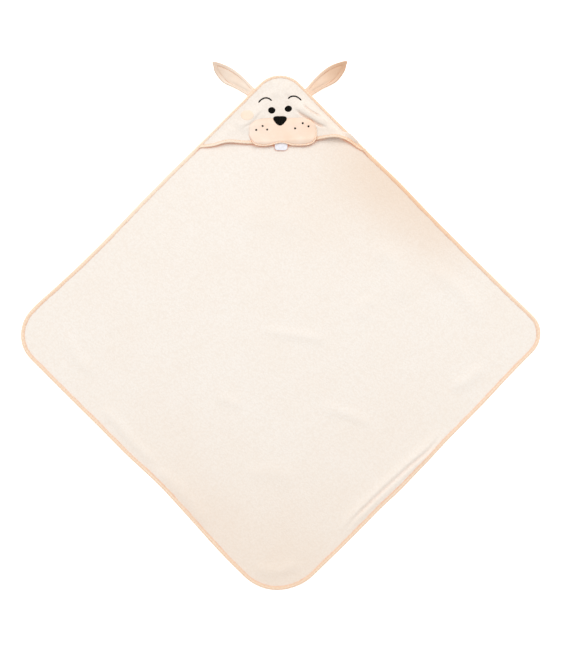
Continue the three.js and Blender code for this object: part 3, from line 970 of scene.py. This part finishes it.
def muzzleOutline():
    low, high = nodeBox("muzzle_patch")
    middle, half = (low + high)[:2] / 2, (high - low)[:2] / 2
    corners = [middle + half * np.array(p) for p in muzzle["outline"]]
    return curveThrough(corners, muzzle["step"], closed=True)[::-1]


muzzleEdge = muzzleOutline()


def muzzleUnder(x, y):
    # It lies on the hood and its hem tape, and hangs a little past the hem
    hem = hemAt(x)
    nearHem = smooth((hem + 9 - y) / 5)
    fall, over = muzzle["droop"]
    lying = hoodOver(x, np.maximum(y, hem)) + muzzle["offHood"] + muzzle["overTape"] * nearHem
    return lying - fall * smooth((hem + 4 - y) / over)


def muzzleOver(x, y):
    gap, _ = distanceTo(x, y, muzzleEdge, closed=True)
    share = np.clip(gap / muzzle["rim"], 0, 1)
    below, over = muzzle["freeBelow"]
    free = smooth((below - y) / over)
    # Gentle where it is sewn flat along the top, full where its lower edge turns under
    rise = smooth(share) * (1 - free) + np.sqrt(np.clip(1 - (1 - share) ** 2, 0, 1)) * free
    dents = muzzle["unevenness"] * wander(x, y, 18, 71)
    for path, width, height in muzzle["dents"]:
        dents += crease(x, y, curveThrough(path, 6), width, height)
    thick = muzzle["sewnEdge"] + (muzzle["freeEdge"] - muzzle["sewnEdge"]) * free
    return muzzleUnder(x, y) + thick + muzzle["puff"] * rise + dents * np.clip(gap / 8, 0, 1)


def makeMuzzle():
    centre = muzzleEdge.mean(0)
    layers = []
    for share in np.linspace(0, 1, muzzle["rings"], endpoint=False) ** 1.15:
        layers.append(muzzleEdge + (centre - muzzleEdge) * share)
    flat = np.vstack([*layers, centre[None]])
    over = np.column_stack([flat, muzzleOver(flat[:, 0], flat[:, 1])])
    under = np.column_stack([flat, muzzleUnder(flat[:, 0], flat[:, 1])])
    points, faces = cushion(over, under, muzzle["rings"], len(muzzleEdge))
    return makePiece("muzzle", points, faces, velour)


def makeMuzzleBorder():
    outward = leftNormals(muzzleEdge, closed=True)
    along = np.arange(len(muzzleEdge)) * muzzle["step"]
    ripple = 0.06 * wander(along, 0 * along, 5, 72)
    sections = []
    for depth, face, off, share in muzzle["border"]:
        # The border only swells along the bottom and up the right side
        rightSide = smooth((muzzleEdge[:, 0] - 40) / 20) * smooth((468 - muzzleEdge[:, 1]) / 16)
        narrow = 0.14 + 0.86 * np.maximum(smooth((434 - muzzleEdge[:, 1]) / 8), rightSide)
        xy = muzzleEdge - outward * (depth * narrow)[:, None]
        under, over = muzzleUnder(xy[:, 0], xy[:, 1]), muzzleOver(xy[:, 0], xy[:, 1])
        z = under + (over - under) * face + off * narrow + ripple * share
        sections.append(np.column_stack([xy, z]))
    points, faces = sweep(np.stack(sections, 1), True)
    return makePiece("muzzle_border", points, faces, satinThread)


def ellipseLine(low, high, step=1.1):
    middle, half = (low + high)[:2] / 2, (high - low)[:2] / 2
    count = max(int(2 * math.pi * half.max() / step), 14)
    turns = np.linspace(0, 2 * math.pi, count, endpoint=False)
    return middle + half * np.stack([np.cos(turns), np.sin(turns)], 1)


features = {
    "eye": {"height": 1.2, "rim": 3.0, "within": 0.45, "tilt": {"left": -6, "right": 9}},
    "cheek": {"height": 0.4, "rim": 2.0, "shownRight": (0.6, 0.15, 1), "shift": (2, 4, 0), "foldTurn": -31},
    "dot": {"height": 0.9, "rim": 1.8},
    "nose": {"height": 1.3, "rim": 3.4},
    "brow": {"width": 3.2, "height": 0.9},
    # Brow paths, as shares of their box from its lower left corner
    "browPaths": {
        "left": [(0.03, 0.1), (0.22, 0.62), (0.48, 0.93), (0.75, 0.85), (0.98, 0.42)],
        "right": [(0.02, 0.42), (0.22, 0.85), (0.5, 0.93), (0.76, 0.62), (0.97, 0.1)],
    },
    # Half of the nose, as shares of half its width and of its height, from the top down
    "noseOutline": [(0.0, 1.0), (0.45, 1.0), (0.78, 0.94), (0.94, 0.76), (0.84, 0.52), (0.56, 0.24),
                    (0.27, 0.05), (0.0, 0.0)],
}


def turned(line, degrees):
    middle, angle = line.mean(0), math.radians(degrees)
    x, y = (line - middle).T
    cos, sin = math.cos(angle), math.sin(angle)
    return middle + np.stack([x * cos - y * sin, x * sin + y * cos], 1)


def insideOf(x, y, line):
    # Whether each point lies inside a closed line
    ahead = np.roll(line, -1, 0)
    inside = np.zeros(np.shape(x), bool)
    for (ax, ay), (bx, by) in zip(line, ahead):
        if ay == by:
            continue
        crosses = ((ay > y) != (by > y)) & (x < (bx - ax) * (y - ay) / (by - ay) + ax)
        inside ^= crosses
    return inside


def noseBase(x, y):
    # Dense embroidery bridges the step up from the hood to the muzzle
    gap, _ = distanceTo(x, y, muzzleEdge, closed=True)
    signed = np.where(insideOf(x, y, muzzleEdge), gap, -gap)
    share = smooth((signed + 9) / 7)
    onMuzzle = muzzleOver(x, y) + 0.6 * np.exp(-(signed / 4) ** 2)
    return hoodOver(x, y) * (1 - share) + onMuzzle * share + 0.3


def makeNose():
    low, high = nodeBox("nose")
    middle, half = (high[0] + low[0]) / 2, (high[0] - low[0]) / 2
    rightSide = features["noseOutline"]
    leftSide = [(-a, b) for a, b in rightSide[-2:0:-1]]
    corners = [(middle + a * half, low[1] + b * (high[1] - low[1])) for a, b in rightSide + leftSide]
    line = curveThrough(corners, 1.2, closed=True)[::-1]
    look = features["nose"]
    points, faces = domedPatch(line, noseBase, look["height"], look["rim"], rings=9)
    return makePiece("nose_embroidery", points, faces, blackThread)


def hoodPatch(name, node, outline, look, material, base=hoodOver):
    points, faces = domedPatch(outline, base, look["height"], look["rim"], sink=0.5)
    piece = makePiece(name, points, faces, material)
    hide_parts(node)
    return bendWithHood(piece)


muzzlePatch = makeMuzzle()
muzzleBorder = makeMuzzleBorder()
nose = makeNose()
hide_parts("muzzle_patch")
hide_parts("muzzle_satin_stitch")
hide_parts("nose")
for piece in (hoodTerry, hemBinding, hemStitches, muzzlePatch, muzzleBorder, nose):
    bendWithHood(piece)

for side in ("left", "right"):
    look = features["eye"]
    within, (low, high) = look["within"], nodeBox(side + "_eye")
    eye = turned(ellipseLine(low + within, high - within), look["tilt"][side])
    hoodPatch(side + "_eye_embroidery", side + "_eye", eye, look, blackThread)
    look = features["cheek"]
    low, high = nodeBox(side + "_cheek")
    if side == "right":
        # The folds beside the muzzle close over most of this one
        middle, half = (low + high) / 2 + look["shift"], (high - low) / 2
        shown = half * np.array(look["shownRight"])
        cheek = turned(ellipseLine(middle - shown, middle + shown, step=1.2), look["foldTurn"])
    else:
        cheek = ellipseLine(low, high, step=1.6)
    hoodPatch(side + "_cheek_patch", side + "_cheek", cheek, look, cheekCloth)
    low, high = nodeBox(side + "_eyebrow")
    path = [low[:2] + (high - low)[:2] * np.array(p) for p in features["browPaths"][side]]
    brow = features["brow"]
    points, faces = corded(curveThrough(path, 1.0), brow["width"], brow["height"], hoodOver)
    browPiece = makePiece(side + "_brow_embroidery", points, faces, blackThread)
    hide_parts(side + "_eyebrow")
    bendWithHood(browPiece)
for k in range(1, 7):
    node = f"whisker_dot_{k}"
    hoodPatch(node + "_embroidery", node, ellipseLine(*nodeBox(node), step=0.9), features["dot"],
              blackThread, base=muzzleOver)

tooth = {
    "tuck": 8.0,  # how far it runs up under the muzzle
    "corner": 6.5,
    "thick": 1.3,
    "puff": 0.6,
    "rings": 9,
    "wide": 1.0,  # how far its soft sides stand out past the cut size
    "short": 0.3,
    "bend": (4.0, -6.0),  # two distances from its seam
}


def makeTooth():
    low, high = nodeBox("tooth")
    low, high = low[:2] + (-tooth["wide"], tooth["short"]), high[:2] + (tooth["wide"], tooth["tuck"])
    r = tooth["corner"]
    turns = np.linspace(0, math.pi / 2, 8)
    left = [(low[0] + r - r * math.cos(a), low[1] + r - r * math.sin(a)) for a in turns]
    right = [(high[0] - r + r * math.sin(a), low[1] + r - r * math.cos(a)) for a in turns]
    sideY = np.linspace(low[1] + r, high[1], 8)[1:]
    line = np.array([*left, *right, *[(high[0], y) for y in sideY],
                     *[(x, high[1]) for x in np.linspace(high[0], low[0], 14)[1:]],
                     *[(low[0], y) for y in sideY[::-1][1:]]])
    centre = line.mean(0)
    shares = np.linspace(0, 1, tooth["rings"], endpoint=False) ** 1.3
    layers = [line + (centre - line) * share for share in shares]
    flat = np.vstack([*layers, centre[None]])
    x, y = flat.T
    gap, _ = distanceTo(x, y, line, closed=True)
    rise = np.sqrt(np.clip(1 - (1 - np.clip(gap / 4.0, 0, 1)) ** 2, 0, 1))
    # It comes out from under the muzzle and hangs on past it
    hem = hemAt(x)
    middle = muzzleUnder(x, hem - 4) - 0.35 - (tooth["thick"] + tooth["puff"]) / 2
    middle = middle - 0.1 * np.maximum(hem - 3 - y, 0)
    half = (tooth["thick"] + tooth["puff"] * rise) / 2
    over = np.column_stack([flat, middle + half])
    under = np.column_stack([flat, middle - half])
    points, faces = cushion(over, under, tooth["rings"], len(line))
    return makePiece("tooth_tab", points, faces, toothTwill)


toothTab = makeTooth()
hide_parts("tooth")
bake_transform(toothTab)
print("face made")


ear = {
    # From root to tip and back: share of its length, share of half its width
    "outline": [(0.28, 0.8), (0.52, 0.88), (0.7, 0.76), (0.87, 0.44), (1.0, 0.02), (0.93, -0.38),
                (0.85, -0.74), (0.72, -1.0), (0.58, -1.12), (0.43, -0.98), (0.25, -0.74)],
    "length": 107.0, "width": 37.0, "root": 21.0, "droop": 8.0,
    "fromCorner": 88.4,  # along the edge from the square's corner point
    "tuck": 1.0,  # how far it runs in under the tape
    "leaf": 1.3,
    "seam": 7.0, "seamDepth": 0.9, "seamWidth": 1.1,  # the stitched line: how far in, deep and wide
    "puff": 0.9,  # how far the panel inside it stands up
    "stand": {"left": 3.0, "right": 11.0},  # how high the whole ear tips up
    "curl": {"left": 15.0, "right": 14.0},  # and its tip beyond that
    "brim": {"left": 2.6, "right": 4.2},  # how high the side toward the hood's point stands
    "stitch": {"pitch": 3.4, "length": 3.0, "thickness": 1.1},  # thicker than real, to show
    "bend": 14.0,  # a distance out from its seam
}


def earLine(inset, step):
    # In the ear's own frame: x along the edge toward the hood's point, y straight out
    lean = math.radians(ear["droop"])
    half, length, root = ear["width"] / 2 - inset, ear["length"] - 2 * inset, ear["root"] / 2 - inset

    def leaf(along, across):
        x, y = across * half, along * length
        return x * math.cos(lean) - y * math.sin(lean), x * math.sin(lean) + y * math.cos(lean)

    points = [(root, -ear["tuck"]), *[leaf(*p) for p in ear["outline"]], (-root, -ear["tuck"])]
    return curveThrough(points, step)


def earPlace(points, side):
    # From the ear's own frame to its place on the hood corner
    root = ear["fromCorner"] / math.sqrt(2)
    x, y = points[:, 0], points[:, 1]
    sign = -1 if side == "left" else 1
    px = sign * (root + (y - x) / math.sqrt(2))
    py = halfDiagonal - root + (y + x) / math.sqrt(2)
    return np.column_stack([px, py, points[:, 2]])


def earHeight(x, y, side):
    # Flat in the seam, then the side toward the hood's point stands up and the tip curls over
    lean = math.radians(ear["droop"])
    along = (y * math.cos(lean) - x * math.sin(lean)) / ear["length"]
    across = (x * math.cos(lean) + y * math.sin(lean)) / (ear["width"] / 2)
    free = smooth(along / 0.4)
    z = 1.25 + 0.5 * free
    brim = ear["brim"][side] * smooth((across + 0.1) / 1.1)
    z += free * brim * (1 - 0.4 * smooth((along - 0.6) / 0.4))
    z += free * 1.2 * smooth((-across - 0.35) / 0.8)
    z += ear["stand"][side] * np.clip(along - 0.08, 0, 1)
    z += ear["curl"][side] * (np.clip(along + 0.1 * across - 0.45, 0, 1) / 0.55) ** 2
    z += 1.1 * free * np.exp(-((across + 0.1) / 0.28) ** 2) * (1 - smooth((along - 0.3) / 0.5))
    return z + 0.4 * free * wander(x, y, 14, 81 if side == "left" else 82)


def makeLeaf(name, side, inset, low, high):
    line = earLine(inset, 1.8)
    half = len(line) // 2
    # Opposite points of the outline are joined across the leaf
    right, left = line[:half], line[::-1][:half]
    share = np.linspace(0, 1, 17)[None, :, None]
    xy = right[:, None, :] * (1 - share) + left[:, None, :] * share
    x, y = xy[..., 0], xy[..., 1]
    gap, _ = distanceTo(x, y, line)
    bulge = 0.15 + 0.85 * np.sqrt(np.clip(1 - (1 - np.clip(gap / 1.6, 0, 1)) ** 2, 0, 1))
    # The seam draws the leaf down, and the panel inside it puffs up
    pastRoot = smooth(y / 12)
    seam = ear["seamDepth"] * np.exp(-((gap - ear["seam"]) / ear["seamWidth"]) ** 2) * pastRoot
    puff = ear["puff"] * smooth((gap - ear["seam"]) / 4) * pastRoot
    z = earHeight(x, y, side) + low
    top = np.stack([x, y, z + (high - low) * (0.5 + 0.5 * bulge) + (puff - seam) * (low > 0)], 2)
    bottom = np.stack([x, y, z + (high - low) * (0.5 - 0.5 * bulge)], 2)
    points, faces = doubleSheet(top, bottom)
    if side == "right":
        faces = [face[::-1] for face in faces]
    return makePiece(name, earPlace(points, side), faces, jersey)


def makeEar(side):
    leaf, stitch = ear["leaf"], ear["stitch"]
    back = makeLeaf(side + "_ear_back_leaf", side, 0.0, 0.0, leaf)
    front = makeLeaf(side + "_ear_front_leaf", side, 0.7, leaf + 0.05, 2 * leaf)
    row = earLine(ear["seam"], 1.5)
    row = row[row[:, 1] > 4]
    points, faces = stitchRow(row, lambda x, y: earHeight(x, y, side) + 2 * leaf - 0.5, stitch["pitch"],
                              stitch["length"], stitch["thickness"], seed=7)
    if side == "right":
        faces = [face[::-1] for face in faces]
    stitches = makePiece(side + "_ear_stitches", earPlace(points, side), faces, sewingThread)
    body = side + "_ear"
    for piece, node in ((back, body + "_back"), (front, body + "_front"), (stitches, body + "_topstitch")):
        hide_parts(node)
        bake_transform(piece)
    return back, front, stitches


leftEar = makeEar("left")
rightEar = makeEar("right")
print("ears made")


studio = {
    "floor": "#f4f4f4", "floorGlow": 0.6,
    "floorReach": 6.0, "floorDrop": 0.6,  # metres from the middle, and mm clear of the towel
    # Soft boxes: place in metres, size, watts
    "lights": {"key": ((2.6, 4.4, 5.4), 4.4, 210.0), "fill": ((-5.1, 2.6, 5.1), 4.8, 126.0)},
    "world": 0.62,
    "lens": 100.0, "sensor": 36.0,
    "middle": (6.2, 1.8),  # what the camera looks straight down at
    "tall": 1479.0,  # height of the view at the towel's top face
    "topFace": 4.0,
}


def makeStudio():
    mesh = bpy.data.meshes.new("studio_floor")
    reach = studio["floorReach"]
    corners = [(-reach, -reach, 0), (reach, -reach, 0), (reach, reach, 0), (-reach, reach, 0)]
    mesh.from_pydata(corners, [], [(0, 1, 2, 3)])
    floor = bpy.data.objects.new("studio_floor", mesh)
    bpy.context.scene.collection.objects.link(floor)
    floor.location.z = -studio["floorDrop"] * mm
    material, tree = startMaterial("PaperBackdropWhite")
    paper = addNode(tree, "ShaderNodeBsdfPrincipled", Base_Color=linear(studio["floor"]), Roughness=0.9,
                    Emission_Color=(1, 1, 1, 1), Emission_Strength=studio["floorGlow"])
    addNode(tree, "ShaderNodeOutputMaterial", Surface=(paper, 0))
    mesh.materials.append(material)
    world = bpy.data.worlds.new("studio")
    world.use_nodes = True
    world.node_tree.nodes["Background"].inputs["Color"].default_value = (1, 1, 1, 1)
    world.node_tree.nodes["Background"].inputs["Strength"].default_value = studio["world"]
    bpy.context.scene.world = world
    for name, (place, size, power) in studio["lights"].items():
        light = bpy.data.lights.new(name, "AREA")
        light.shape = "DISK"
        light.size = size
        light.energy = power
        lamp = bpy.data.objects.new(name, light)
        lamp.location = place
        lamp.rotation_euler = (Vector((0, 0, 0)) - lamp.location).to_track_quat("-Z", "Y").to_euler()
        bpy.context.scene.collection.objects.link(lamp)
    camera = bpy.data.cameras.new("camera")
    camera.lens, camera.sensor_width = studio["lens"], studio["sensor"]
    camera.clip_end = 50
    seen = bpy.data.objects.new("camera", camera)
    distance = studio["tall"] * studio["lens"] / studio["sensor"] * mm
    acrossBy, upBy = studio["middle"]
    seen.location = (acrossBy * mm, upBy * mm, distance + studio["topFace"] * mm)
    bpy.context.scene.collection.objects.link(seen)
    bpy.context.scene.camera = seen
    bpy.context.scene.view_settings.view_transform = "Standard"


makeStudio()
print("studio made")
